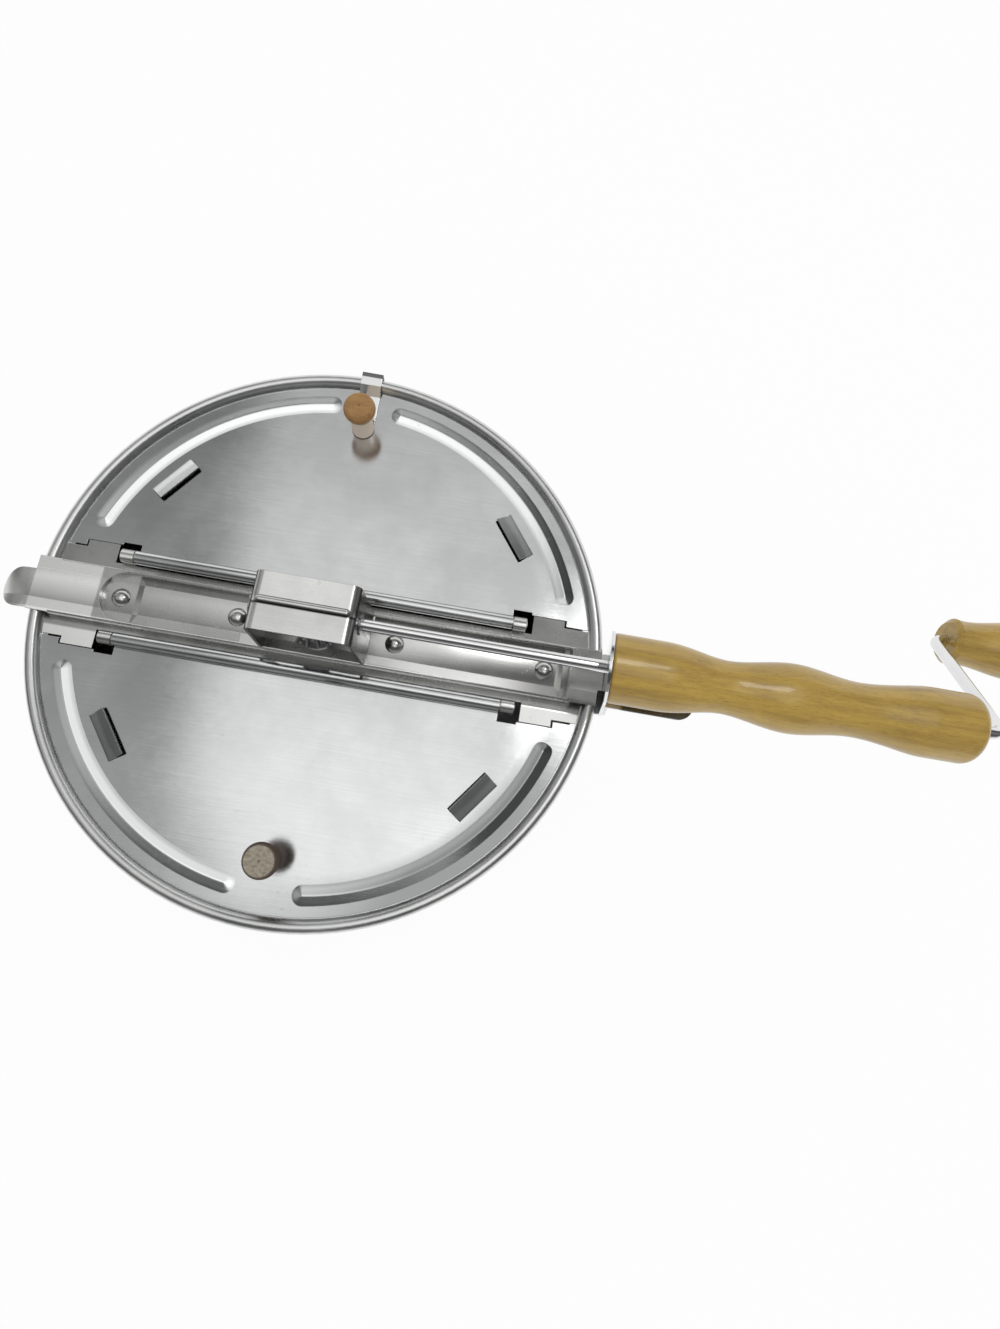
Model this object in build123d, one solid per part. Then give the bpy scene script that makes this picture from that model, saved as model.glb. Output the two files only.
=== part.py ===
"""Stovetop popcorn popper: an aluminium pan, a bridge with two hinged half lids,
and a hand crank that turns a stirrer through a pair of mitre gears.

Millimetres. The origin is the centre of the pan's flat underside, +Z is up and
+X runs along the wooden handle. Heights named *_height count from the underside.
"""
from build123d import *
from math import atan2, cos, degrees, radians, sin, sqrt, tan
import os

os.makedirs("parts", exist_ok=True)

# ---------------------------------------------------------------- pan
rim_height = 138.0            # underside to the widest plane of the rolled rim
rim_radius = 120.5
rim_bead_radius = 2.75
pan_wall = 1.2
floor_thickness = 1.5
pan_corner_radius = 10.0
seat_step = 2.7               # width of the ledge that the lids rest on
seat_drop = 1.2               # ledge below the rim's widest plane

# ---------------------------------------------------------------- fits
running_fit = 0.06            # radial clearance of a turning fit
end_play = 0.4                # gap between a turning piece and its neighbour
lid_clearance = 0.5           # lids to the rim's bore, all round

# ---------------------------------------------------------------- half lids and hinges
lid_sheet = 0.7
hinge_offset = 18.0           # hinge axes each side of the centre line
hinge_shift = -1.0            # middle of the hinges along the bridge
hinge_wire_radius = 1.5
barrel_radius = 2.9
barrel_length = 162.0
knuckle_width = 5.5
notch_width = 8.0             # cut in a lid for a knuckle
notch_depth = 3.6
lid_edge = 23.3               # straight edge of a lid from the centre line
corner_length = 8.0           # lid corners that step in beside the wings
corner_step = 3.0
corner_gap = 0.7
rib_inset = 4.3               # lid's round edge to a rib
rib_width = 8.2
rib_rise = 0.95               # height of the ridge that a rib's two slopes would meet in
rib_crest_radius = 2.0        # rounding of that ridge
rib_start_angle = 18.5        # degrees from the bridge's line
rib_end_angle = 81.6
vent_angle = 37.0
vent_inset = 20.5             # lid's round edge to the middle of a vent
vent_length = 21.0
vent_width = 7.4
vent_tilt = 20.0

# ---------------------------------------------------------------- bridge
strip_sheet = 0.8
strip_half_width = 14.9
wing_reach = 23.0
wing_gap = 3.1                # knuckle to wing
bridge_sheet = 1.0
bridge_half_width = 11.7
bridge_bend = 0.8             # radius along the channel's top edges
bridge_left_inset = 0.3       # bridge's left end to the widest part of the rim
bridge_end_gap = 1.9          # its right end to the end plate
flange_inset = 4.0            # its side flanges' ends to the rim's bore
trough_left_inset = 19.0      # from the flanges' left end
trough_right_inset = 4.0
trough_floor_rise = 0.2       # gap from the trough's floor sheet to the strip
rib_half_width = 6.5
bridge_rib_rise = 1.0         # top of the middle rib over the trough's floor
rib_left_inset = 33.0         # from the flanges' left end
rib_right_inset = 7.0
rib_end_slope = 2.8           # length of the rib's sloping ends
plateau_left_end = -31.5
plateau_right_end = 22.4
thumb_tab_width = 17.6
thumb_tab_shift = -2.8
thumb_tab_length = 16.0
thumb_tab_bend_radius = 22.0
tongue_width = 10.0
tongue_length = 5.0
tongue_clearance = 0.3

# ---------------------------------------------------------------- rivets
end_rivet_insets = (26.8, 14.8)   # from the flanges' left and right ends
middle_rivets = (-34.3, 32.5)
rivet_radius = 2.0
rivet_head_radius = 4.0
rivet_head_height = 2.2
rivet_tail_height = 1.2

# ---------------------------------------------------------------- gear housing
housing_sheet = 1.2
housing_top_rise = 40.0       # top over the rim's widest plane
housing_left_foot = -22.2
housing_right_foot = 22.0
housing_taper = 2.1           # each wall leans in by this much at the top
housing_half_width = 11.4
housing_corner_radius = 3.6
housing_bead_radius = 1.6
housing_bead_shift = 0.3
housing_bead_inset = 3.6      # each wall's top to the middle of the bead's round end
foot_half_width = 5.2
foot_reach = 17.0

# ---------------------------------------------------------------- crank, gears and stirrer
rod_rise = 27.0               # crank axis over the rim's widest plane
rod_radius = 2.4
rod_bend_radius = 6.0
crank_drop = 45.0             # knob axis below the crank axis at rest
crank_side = 50.0             # and to the north of it
arm_gap = 10.5                # handle's end to the crank arm
bush_radius = 4.2
bush_flange_radius = 5.6
bush_flange = 1.2
bush_overhang = 0.4           # bush outside the housing's wall
nut_gap = 0.1                 # push nut to the bush or knob beside it
push_nut_radius = 5.0
push_nut_thickness = 1.0
rod_overhang = 0.6            # rod past its push nuts
gear_teeth = 14
gear_pitch_radius = 10.0
gear_tip_radius = 10.9
gear_addendum = 1.1
gear_dedendum = 1.35
gear_face_share = 0.646       # small end of a tooth as a share of its big end
tooth_root_half = 1.23        # half a tooth's thickness at its big end's foot
tooth_tip_half = 0.45         # and at its tip
gear_hub_radius = 6.0
gear_pin_radius = 1.0
shaft_radius = 2.4
shaft_bush_radius = 5.0
shaft_bush_flange_radius = 8.0
shaft_bush_flange = 1.5
shaft_bush_drop = 2.0         # bush below the strip
clip_radius = 5.6
clip_thickness = 0.8
clip_slot = 3.4
stir_wire_radius = 1.5
stir_height = 5.0             # wire's axis over the underside
stir_reach = 88.0
stir_sweep = 42.0
stir_straight = 50.0
stir_bend_radius = 22.0
stir_turn = 24.0              # degrees, how far the stirrer is turned at rest
shaft_foot = 3.2              # shaft below the stir wire's axis

# ---------------------------------------------------------------- handle and its bracket
bracket_sheet = 1.5
bracket_half_width = 13.2
plate_gap = 1.2               # rim to the end plate, at the rim's widest plane
plate_lean = 9.0              # degrees, the plate's top leans in over the bridge
end_plate_sheet = 1.2
end_plate_radius = 14.2
end_plate_foot = -5.0         # its lower edge against the rim's widest plane
leg_top = -15.0
leg_foot = -58.0
neck_foot = -6.0
shelf_length = 37.9           # from where the handle's axis meets the end plate
shelf_corner = 6.0
grip_length = 141.9           # along its axis
grip_radius_inner = 13.7
grip_radius_waist = 10.45
grip_radius_middle = 13.7
grip_radius_second_waist = 10.8
grip_radius_outer = 13.8
grip_end_round = 4.5
grip_plain_length = 19.0      # straight part over the shelf
grip_inner_round = 1.2
grip_bore_clearance = 0.5
grip_seat = 0.05
bracket_rivets_at = ((-7.5, -29.0), (7.5, -29.0), (0.0, -47.0))
grip_screws_at = (10.0, 19.0)  # from the grip's inner end
grip_screw_radius = 1.8
grip_screw_depth = 6.5
grip_screw_head_radius = 3.6
grip_screw_head = 2.0

# ---------------------------------------------------------------- knobs and rim clip
lid_knob_north_inset = 18.7   # lid's round edge to a knob's axis
lid_knob_south_inset = 21.3
lid_knob_height = 19.5
lid_knob_radius = 6.9
lid_knob_top_radius = 5.7
lid_knob_head = 7.0
lid_knob_stem_radius = 4.6
lid_knob_foot_radius = 5.0
lid_knob_centre_mark = 0.6    # radius and depth of the lathe's mark in the top
knob_screw_radius = 1.6
knob_screw_depth = 12.0
knob_screw_head_radius = 3.6
knob_screw_head = 1.8
rim_clip_width = 9.4
rim_clip_sheet = 0.7
rim_clip_ramp_inset = 2.6     # foot of the clip's ramp inside the rim's bore
rim_clip_ramp_length = 3.2
rim_clip_air = 0.4            # clip to the rim's bead
rim_clip_lip = 1.6            # lip's end below the rim's widest plane
crank_knob_length = 46.0
crank_knob_inner_radius = 10.6
crank_knob_radius = 13.2
crank_knob_waist_radius = 10.2
crank_knob_gap = 3.8          # crank arm to the knob

# ---------------------------------------------------------------- what follows from these
rim_bore_radius = rim_radius - 2 * rim_bead_radius
bead_centre_radius = rim_radius - rim_bead_radius
pan_bore_radius = rim_bore_radius - seat_step
pan_outer_radius = pan_bore_radius + pan_wall
seat_height = rim_height - seat_drop
lid_radius = rim_bore_radius - lid_clearance
rib_outer_radius = lid_radius - rib_inset
vent_radius = lid_radius - vent_inset
lid_knob_north = lid_radius - lid_knob_north_inset
lid_knob_south = lid_radius - lid_knob_south_inset
lid_top = seat_height + lid_sheet
strip_top = seat_height + strip_sheet
hinge_height = seat_height + barrel_radius
barrel_bore = hinge_wire_radius + running_fit
bridge_top = rim_height + rim_bead_radius + bridge_sheet
trough_floor_top = strip_top + trough_floor_rise + bridge_sheet
trough_half_width = bridge_half_width - bridge_sheet
bridge_rib_top = trough_floor_top + bridge_rib_rise
flange_reach = rim_bore_radius - flange_inset
trough_left_end = trough_left_inset - flange_reach
trough_right_end = flange_reach - trough_right_inset
rib_left_end = rib_left_inset - flange_reach
rib_right_end = flange_reach - rib_right_inset
rivet_places = (end_rivet_insets[0] - flange_reach, *middle_rivets, flange_reach - end_rivet_insets[1])
rod_height = rim_height + rod_rise
housing_top = rim_height + housing_top_rise
plate_slope = tan(radians(plate_lean))
plate_foot_place = rim_radius + plate_gap
plate_thickness_along = end_plate_sheet / cos(radians(plate_lean))
bridge_left_end = bridge_left_inset - rim_radius
bridge_right_end = plate_foot_place - plate_slope * (bridge_top - rim_height) - bridge_end_gap
grip_start = plate_foot_place + plate_thickness_along - plate_slope * rod_rise
grip_end = grip_start + grip_length
shelf_top = rod_height - grip_radius_inner - grip_seat
arm_place = grip_end + arm_gap + rod_radius
knob_axis_y = crank_side
knob_axis_height = rod_height - crank_drop
wire_start = barrel_length / 2 + end_play + knuckle_width
LONG = 2 * (rim_radius + grip_length)   # longer than any piece, for cutting

MIN3 = (Align.MIN, Align.MIN, Align.MIN)
FOOT = (Align.CENTER, Align.CENTER, Align.MIN)


# ---------------------------------------------------------------- helpers
def block(corner, opposite):
    """A box between two opposite corners, in either order."""
    low = [min(pair) for pair in zip(corner, opposite)]
    size = [abs(b - a) for a, b in zip(corner, opposite)]
    return Pos(*low) * Box(*size, align=MIN3)


def rod_x(start, end, radius, y=0.0, z=0.0):
    """A cylinder along X between two places, in either order."""
    return Pos(min(start, end), y, z) * Rot(0, 90, 0) * Cylinder(radius, abs(end - start), align=FOOT)


def rod_z(low, high, radius, x=0.0, y=0.0):
    """A cylinder along +Z."""
    return Pos(x, y, low) * Cylinder(radius, high - low, align=FOOT)


def turned(points):
    """A body of revolution about Z from (radius, height) points."""
    return revolve(Plane.XZ * make_face(Polyline(*points, close=True)), Axis.Z)


def dome_rivet(head_radius, head_height, shank_radius, grip, tail_height):
    """A round-headed rivet along Z: head above z = 0, tail below z = -grip."""
    ball_radius = (head_radius**2 + head_height**2) / (2 * head_height)
    ball = Pos(0, 0, head_height - ball_radius) * Sphere(ball_radius)
    head = ball & rod_z(0, head_height, head_radius)
    tail = rod_z(-grip - tail_height, -grip, head_radius * 0.8)
    return head + rod_z(-grip, 0, shank_radius) + tail


def mirror_south(piece):
    return mirror(piece, Plane.XZ)


# ---------------------------------------------------------------- pan
def make_pan():
    bead_bottom = sqrt(rim_bead_radius**2 - (rim_bore_radius + pan_wall - bead_centre_radius) ** 2)
    over = radians(45)
    arc_middle = (
        bead_centre_radius + rim_bead_radius * cos(over),
        rim_height + rim_bead_radius * sin(over),
    )
    step_top = seat_height - pan_wall
    neck_radius = rim_bore_radius + pan_wall
    corner = pan_corner_radius
    inner_corner = corner - pan_wall
    slant = 1 - sqrt(0.5)
    outline = [
        Line((0, 0), (pan_outer_radius - corner, 0)),
        ThreePointArc(
            (pan_outer_radius - corner, 0),
            (pan_outer_radius - corner * slant, corner * slant),
            (pan_outer_radius, corner),
        ),
        Line((pan_outer_radius, corner), (pan_outer_radius, step_top - seat_step)),
        Line((pan_outer_radius, step_top - seat_step), (neck_radius, step_top)),
        Line((neck_radius, step_top), (neck_radius, rim_height - bead_bottom)),
        ThreePointArc((neck_radius, rim_height - bead_bottom), arc_middle, (rim_bore_radius, rim_height)),
        Line((rim_bore_radius, rim_height), (rim_bore_radius, seat_height)),
        Line((rim_bore_radius, seat_height), (pan_bore_radius, seat_height)),
        Line((pan_bore_radius, seat_height), (pan_bore_radius, floor_thickness + inner_corner)),
        ThreePointArc(
            (pan_bore_radius, floor_thickness + inner_corner),
            (pan_bore_radius - inner_corner * slant, floor_thickness + inner_corner * slant),
            (pan_bore_radius - inner_corner, floor_thickness),
        ),
        Line((pan_bore_radius - inner_corner, floor_thickness), (0, floor_thickness)),
        Line((0, floor_thickness), (0, 0)),
    ]
    pan = revolve(Plane.XZ * make_face(outline), Axis.Z)
    for y, rise in bracket_rivets_at:
        pan -= rod_x(pan_bore_radius - 5, pan_outer_radius + 5, rivet_radius, y, rim_height + rise)
    return pan


# ---------------------------------------------------------------- half lids
def rib_bar(base):
    """A ridged bar with round ends that stands on a height: a lid's rib, or its hollow side."""
    half, low = rib_width / 2, base - 0.05
    slope = atan2(rib_rise, half)
    crest_half = rib_crest_radius * sin(slope)
    crest_foot = base + rib_rise - crest_half * tan(slope)
    crest_top = base + rib_rise - rib_crest_radius * (1 / cos(slope) - 1)
    crest = ThreePointArc((-crest_half, crest_foot), (0, crest_top), (crest_half, crest_foot))
    sides = Polyline((crest_half, crest_foot), (half, base), (half, low), (-half, low), (-half, base),
                     (-crest_half, crest_foot))
    section = make_face(crest + sides)
    right_half = section & Pos(LONG / 2, base) * Rectangle(LONG, LONG)
    middle = rib_outer_radius - half
    bar = revolve(Plane.XZ * Pos(middle, 0) * section, Axis.Z, rib_end_angle - rib_start_angle)
    bar = Rot(0, 0, rib_start_angle) * bar
    round_end = revolve(Plane.XZ * right_half, Axis.Z, 180)
    for angle, turn in ((rib_start_angle, 180), (rib_end_angle, 0)):
        bar += Rot(0, 0, angle) * Pos(middle, 0, 0) * Rot(0, 0, turn) * round_end
    return bar


def vent_pair():
    """The hole of a vent and the flap that is bent up from its outer edge."""
    place = Rot(0, 0, vent_angle) * Pos(vent_radius, 0, seat_height)
    hole = place * Box(vent_width, vent_length, 4 * lid_sheet)
    hinge = Pos(vent_width / 2, 0, 0) * Rot(0, vent_tilt, 0) * Pos(-vent_width / 2, 0, 0)
    flap = place * hinge * Box(vent_width, vent_length - 0.2, lid_sheet, align=FOOT)
    return hole, flap


def make_lid(knob_offset):
    """A half lid as it lies on the north side: sheet, rolled hinge barrel, ribs and vents."""
    half_barrel = barrel_length / 2
    sheet = Circle(lid_radius) & Pos(0, lid_edge + LONG / 2) * Rectangle(2 * LONG, LONG)
    corner_low = wing_reach - corner_step + corner_gap
    for side in (-1, 1):
        corner_start = wing_reach_end() - corner_length
        corner = Pos(hinge_shift + side * (corner_start + LONG / 2), (corner_low + lid_edge) / 2)
        sheet += (corner * Rectangle(LONG, lid_edge - corner_low)) & Circle(lid_radius)
    web_low, web_high = hinge_offset, lid_edge + 1
    web = Pos(hinge_shift, (web_low + web_high) / 2) * Rectangle(barrel_length, web_high - web_low)
    sheet += web
    for side in (-1, 1):
        notch_middle = hinge_shift + side * (half_barrel + notch_width / 2)
        notch = Pos(notch_middle, lid_edge + notch_depth / 2 - 2.5)
        sheet -= notch * Rectangle(notch_width, notch_depth)
    lid = Pos(0, 0, seat_height) * extrude(sheet, lid_sheet)
    lid += rod_x(
        hinge_shift - half_barrel, hinge_shift + half_barrel, barrel_radius, hinge_offset, hinge_height
    )
    lid -= rod_x(-LONG, LONG, barrel_bore, hinge_offset, hinge_height)
    rib, groove = rib_bar(lid_top), rib_bar(seat_height)
    hole, flap = vent_pair()
    for bar, hollow in ((rib, groove), (mirror(rib, Plane.YZ), mirror(groove, Plane.YZ))):
        lid += bar
        lid -= hollow
    for cut, lip in ((hole, flap), (mirror(hole, Plane.YZ), mirror(flap, Plane.YZ))):
        lid -= cut
        lid += lip
    return lid - rod_z(seat_height - 1, lid_top + 1, knob_screw_radius, 0, knob_offset)


def wing_reach_end():
    """How far a wing reaches from the middle of the hinges."""
    return sqrt(lid_radius**2 - wing_reach**2)


# ---------------------------------------------------------------- bridge
def make_hinge_strip():
    half_barrel = barrel_length / 2
    knuckle_start = half_barrel + end_play
    wing_start = knuckle_start + knuckle_width + wing_gap
    wing_end = wing_reach_end()
    plan = Rectangle(2 * LONG, 2 * strip_half_width)
    for side in (-1, 1):
        wing_middle = hinge_shift + side * (wing_start + LONG / 2)
        plan += Pos(wing_middle, 0) * Rectangle(LONG, 2 * wing_reach)
        corner_middle = hinge_shift + side * (wing_end - corner_length - 0.7 + LONG / 2)
        for edge in (-1, 1):
            corner = Pos(corner_middle, edge * (wing_reach - corner_step / 2 + 0.01))
            plan -= corner * Rectangle(LONG, corner_step)
        knuckle_middle = hinge_shift + side * (knuckle_start + knuckle_width / 2)
        plan += Pos(knuckle_middle, 0) * Rectangle(knuckle_width, 2 * hinge_offset)
    plan &= Circle(lid_radius)
    strip = Pos(0, 0, seat_height) * extrude(plan, strip_sheet)
    for side in (-1, 1):
        near = hinge_shift + side * knuckle_start
        far = near + side * knuckle_width
        for edge in (-1, 1):
            y = edge * hinge_offset
            strip += rod_x(near, far, barrel_radius, y, hinge_height)
            strip -= rod_x(near - side, far + side, hinge_wire_radius, y, hinge_height)
    for x in rivet_places:
        strip -= rod_z(seat_height - 1, strip_top + 1, rivet_radius, x)
    strip -= rod_z(seat_height - 1, strip_top + 1, shaft_bush_radius)
    return strip


def make_bridge():
    """The pressed channel over the strip: trough, middle rib, plateau, thumb tab and tongue."""
    low, plate_low = strip_top, bridge_top - bridge_sheet
    half, inner = bridge_half_width, trough_half_width
    channel = block((-flange_reach - 1, -half, low), (flange_reach - 2, half, bridge_top))
    bends = channel.edges().filter_by(Axis.X).group_by(Axis.Z)[-1]
    bridge = fillet(bends, bridge_bend)
    for start, end in ((bridge_left_end, -flange_reach), (flange_reach - 3, bridge_right_end)):
        bridge += block((start, -half, plate_low), (end, half, bridge_top))
    bridge -= block((-flange_reach, -inner, low), (trough_left_end - 2, inner, plate_low))
    trough_middle = trough_left_end + inner
    trough = Pos(trough_middle, 0) * Circle(inner) + Pos(
        (trough_middle + trough_right_end) / 2, 0
    ) * Rectangle(trough_right_end - trough_middle, 2 * inner)
    bridge -= Pos(0, 0, trough_floor_top) * extrude(trough, 10)
    bridge += middle_rib()
    bridge += block((plateau_left_end, -inner, low), (plateau_right_end, inner, bridge_rib_top))
    hollow_top = bridge_rib_top - bridge_sheet
    hollow_half = rib_half_width - bridge_sheet
    hollow_inset = rib_end_slope + bridge_sheet
    bridge -= block(
        (rib_left_end + hollow_inset, -hollow_half, low - 1),
        (rib_right_end - hollow_inset, hollow_half, hollow_top),
    )
    bridge -= block(
        (plateau_left_end + bridge_sheet, -inner + 1, low - 1),
        (plateau_right_end - bridge_sheet, inner - 1, hollow_top),
    )
    bridge -= block((-flange_reach, -inner, low - 1), (flange_reach, inner, low + trough_floor_rise))
    bridge += thumb_tab()
    bridge += block(
        (bridge_right_end - 1, -tongue_width / 2, plate_low),
        (bridge_right_end + tongue_length, tongue_width / 2, bridge_top),
    )
    for x in rivet_places:
        bridge -= rod_z(low - 1, bridge_top + 1, rivet_radius, x)
    bridge -= rod_z(low - 1, bridge_top + 1, shaft_bush_radius)
    for side in (-1, 1):
        foot = housing_right_foot if side > 0 else housing_left_foot
        inner_face = foot - side * housing_sheet
        bridge -= block((foot, -foot_half_width, low - 1), (inner_face, foot_half_width, bridge_top + 1))
    return bridge


def middle_rib():
    """The raised bar in the trough, with sloping flanks and ends."""
    outlines = []
    for height, inset, half in (
        (trough_floor_top, 0, trough_half_width),
        (bridge_rib_top, rib_end_slope, rib_half_width),
    ):
        start, end = rib_left_end + inset, rib_right_end - inset
        outlines.append(Pos((start + end) / 2, 0, height) * Rectangle(end - start, 2 * half))
    return loft(outlines, ruled=True)


def thumb_tab():
    """The rounded lifting tab that curves down outside the rim."""
    bend = thumb_tab_bend_radius
    sweep = degrees(thumb_tab_length / bend)
    turn = radians(sweep)
    outer, inner = bend, bend - bridge_sheet
    start = bridge_left_end + 0.5
    centre_height = bridge_top - outer

    def spot(radius, angle):
        return (start - radius * sin(angle), centre_height + radius * cos(angle))

    profile = [
        ThreePointArc(spot(outer, 0), spot(outer, turn / 2), spot(outer, turn)),
        Line(spot(outer, turn), spot(inner, turn)),
        ThreePointArc(spot(inner, turn), spot(inner, turn / 2), spot(inner, 0)),
        Line(spot(inner, 0), spot(outer, 0)),
    ]
    bent = Plane.XZ * extrude(make_face(profile), thumb_tab_width, both=True)
    reach = start - outer * sin(turn)
    tip_radius = thumb_tab_width / 2 - 0.3
    plan = Pos(reach + tip_radius, thumb_tab_shift) * Circle(tip_radius)
    root = start - (reach + tip_radius) + 2
    plan += Pos(reach + tip_radius + root / 2, thumb_tab_shift) * Rectangle(root, 2 * tip_radius)
    return bent & (Pos(0, 0, bridge_top - 20) * extrude(plan, 40))


def make_bridge_rivets():
    rivets = []
    for x in rivet_places:
        on_rib = rib_left_end < x < rib_right_end
        seat = bridge_rib_top if on_rib else trough_floor_top
        rivet = dome_rivet(
            rivet_head_radius, rivet_head_height, rivet_radius, seat - seat_height, rivet_tail_height
        )
        rivets.append(Pos(x, 0, seat) * rivet)
    return rivets


def make_hinge_wire():
    return rod_x(
        hinge_shift - wire_start - 0.4,
        hinge_shift + wire_start + 0.4,
        hinge_wire_radius,
        hinge_offset,
        hinge_height,
    )


# ---------------------------------------------------------------- gear housing
def wall_face(side, height):
    """The outer face of a housing wall at a height."""
    foot = housing_right_foot if side > 0 else housing_left_foot
    share = (height - bridge_rib_top) / (housing_top - bridge_rib_top)
    return foot - side * housing_taper * share


def make_gear_housing():
    sheet = housing_sheet
    low = bridge_rib_top
    outer = make_face(
        Polyline(
            (housing_left_foot, low),
            (wall_face(-1, housing_top), housing_top),
            (wall_face(1, housing_top), housing_top),
            (housing_right_foot, low),
            close=True,
        )
    )
    inner_top = housing_top - sheet
    inner = make_face(
        Polyline(
            (housing_left_foot + sheet, low - 1),
            (wall_face(-1, inner_top) + sheet, inner_top),
            (wall_face(1, inner_top) - sheet, inner_top),
            (housing_right_foot - sheet, low - 1),
            close=True,
        )
    )
    tops = outer.vertices().sort_by(Axis.Y)[-2:]
    outer = fillet(tops, housing_corner_radius)
    tops = inner.vertices().sort_by(Axis.Y)[-2:]
    inner = fillet(tops, housing_corner_radius - sheet)
    strap = Plane.XZ * extrude(outer - inner, housing_half_width, both=True)
    edge_low = block((-LONG, -LONG, low - 1), (LONG, LONG, bridge_top))
    edge_low -= block((-LONG, -trough_half_width, low - 2), (LONG, trough_half_width, bridge_top + 1))
    strap -= edge_low
    bead_start = wall_face(-1, housing_top) + housing_bead_inset
    bead_end = wall_face(1, housing_top) - housing_bead_inset
    bead_height = housing_top - 0.4
    bead = rod_x(bead_start, bead_end, housing_bead_radius, housing_bead_shift, bead_height)
    for end in (bead_start, bead_end):
        bead += Pos(end, housing_bead_shift, bead_height) * Sphere(housing_bead_radius)
    strap += bead & block((-LONG, -LONG, housing_top - sheet / 2), (LONG, LONG, housing_top + 5))
    foot_top = bridge_rib_top - bridge_sheet
    foot_low = foot_top - sheet
    for side in (-1, 1):
        foot = housing_right_foot if side > 0 else housing_left_foot
        near, far = foot - side * sheet, foot + side * foot_reach
        strap += block((near, -foot_half_width, foot_low), (foot, foot_half_width, low))
        strap += block((near, -foot_half_width, foot_low), (far, foot_half_width, foot_top))
        strap -= rod_x(near - 5 * side, foot + 5 * side, bush_radius, 0, rod_height)
    for x in rivet_places:
        strap -= rod_z(foot_low - 1, foot_top + 1, rivet_radius, x)
    return strap


def wall_lean():
    """How far a housing wall leans in per unit of height."""
    return housing_taper / (housing_top - bridge_rib_top)


def bush_inner_end(side):
    """The flange face of a rod bush, inside the housing."""
    clear_of_wall = wall_lean() * bush_flange_radius + 0.05
    inner_face = wall_face(side, rod_height) - side * (housing_sheet + clear_of_wall)
    return inner_face - side * bush_flange


def make_rod_bushes():
    bushes = []
    for side in (-1, 1):
        inboard = bush_inner_end(side)
        outboard = wall_face(side, rod_height) + side * bush_overhang
        bush = rod_x(inboard, outboard, bush_radius, 0, rod_height)
        bush += rod_x(inboard, inboard + side * bush_flange, bush_flange_radius, 0, rod_height)
        bush -= rod_x(-LONG, LONG, rod_radius + running_fit, 0, rod_height)
        bushes.append(bush)
    return bushes


# ---------------------------------------------------------------- gears
def mitre_gear(phase, hub_length):
    """A straight mitre gear about Z with its apex at the origin and its teeth below it."""
    pitch_distance = gear_pitch_radius * sqrt(2)
    big_plane = -gear_pitch_radius
    tip = gear_pitch_radius * tan(radians(45) + gear_addendum / pitch_distance)
    root = gear_pitch_radius * tan(radians(45) - gear_dedendum / pitch_distance)
    share = gear_face_share
    small_plane = big_plane * share
    body = turned(((0, big_plane), (root, big_plane), (root * share, small_plane), (0, small_plane)))
    buried = root * 0.93
    for index in range(gear_teeth):
        angle = 360 / gear_teeth * (index + phase)
        ends = []
        for scale, height in ((1, big_plane), (share, small_plane)):
            trapezoid = Polyline(
                (buried * scale, -tooth_root_half * scale),
                (tip * scale, -tooth_tip_half * scale),
                (tip * scale, tooth_tip_half * scale),
                (buried * scale, tooth_root_half * scale),
                close=True,
            )
            ends.append(Pos(0, 0, height) * make_face(trapezoid))
        body += Rot(0, 0, angle) * loft(ends, ruled=True)
    body &= rod_z(big_plane - 1, 0, gear_tip_radius)
    body += rod_z(big_plane - hub_length, big_plane, gear_hub_radius)
    return body


def crank_frame(piece):
    """Carry a piece from its own axis Z to the crank's axis: its -Z end points along +X."""
    return Pos(0, 0, rod_height) * Rot(0, -90, 0) * piece


def crank_hub_length():
    return bush_inner_end(1) - end_play - gear_pitch_radius


def make_crank_gear():
    gear = crank_frame(mitre_gear(0, crank_hub_length()))
    gear -= rod_x(-LONG, LONG, rod_radius, 0, rod_height)
    return gear - crank_pin_at(gear_pin_radius)


def crank_pin_at(radius):
    x = gear_pitch_radius + crank_hub_length() / 2
    return rod_z(rod_height - gear_hub_radius + 0.1, rod_height + gear_hub_radius - 0.1, radius, x)


def stirrer_hub_length():
    bush_top = bridge_rib_top + shaft_bush_flange
    return rod_height - gear_pitch_radius - bush_top


def stirrer_pin_at(radius):
    height = bridge_rib_top + shaft_bush_flange + stirrer_hub_length() / 2
    return rod_x(-gear_hub_radius + 0.1, gear_hub_radius - 0.1, radius, 0, height)


def make_stirrer_gear():
    gear = Pos(0, 0, rod_height) * mitre_gear(0.5, stirrer_hub_length())
    gear -= rod_z(0, LONG, shaft_radius)
    return gear - stirrer_pin_at(gear_pin_radius)


# ---------------------------------------------------------------- stirrer
def shaft_top_height():
    return rod_height - gear_pitch_radius * gear_face_share + 0.6


def stir_wire_solid():
    wire_path = FilletPolyline(
        (-stir_reach, -stir_sweep),
        (-stir_straight, 0),
        (stir_straight, 0),
        (stir_reach, stir_sweep),
        radius=stir_bend_radius,
    )
    start = wire_path @ 0
    section = Plane(start, z_dir=wire_path % 0) * Circle(stir_wire_radius)
    wire = sweep(section, path=wire_path)
    return Pos(0, 0, stir_height) * Rot(0, 0, stir_turn) * wire


def make_stirrer_shaft():
    shaft = rod_z(stir_height - shaft_foot, shaft_top_height(), shaft_radius)
    shaft -= stirrer_pin_at(gear_pin_radius)
    shaft -= Pos(0, 0, stir_height) * Rot(0, 0, stir_turn) * rod_x(-9, 9, stir_wire_radius)
    groove_top = seat_height - shaft_bush_drop - 0.1
    groove = rod_z(groove_top - clip_thickness, groove_top, shaft_radius + 1)
    return shaft - (groove - rod_z(0, LONG, clip_bore_radius()))


def clip_bore_radius():
    return shaft_radius - 0.6


def make_shaft_clip():
    top = seat_height - shaft_bush_drop - 0.1
    clip = rod_z(top - clip_thickness, top, clip_radius) - rod_z(0, LONG, clip_bore_radius())
    return clip - block((0, -clip_slot / 2, 0), (LONG, clip_slot / 2, LONG))


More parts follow.
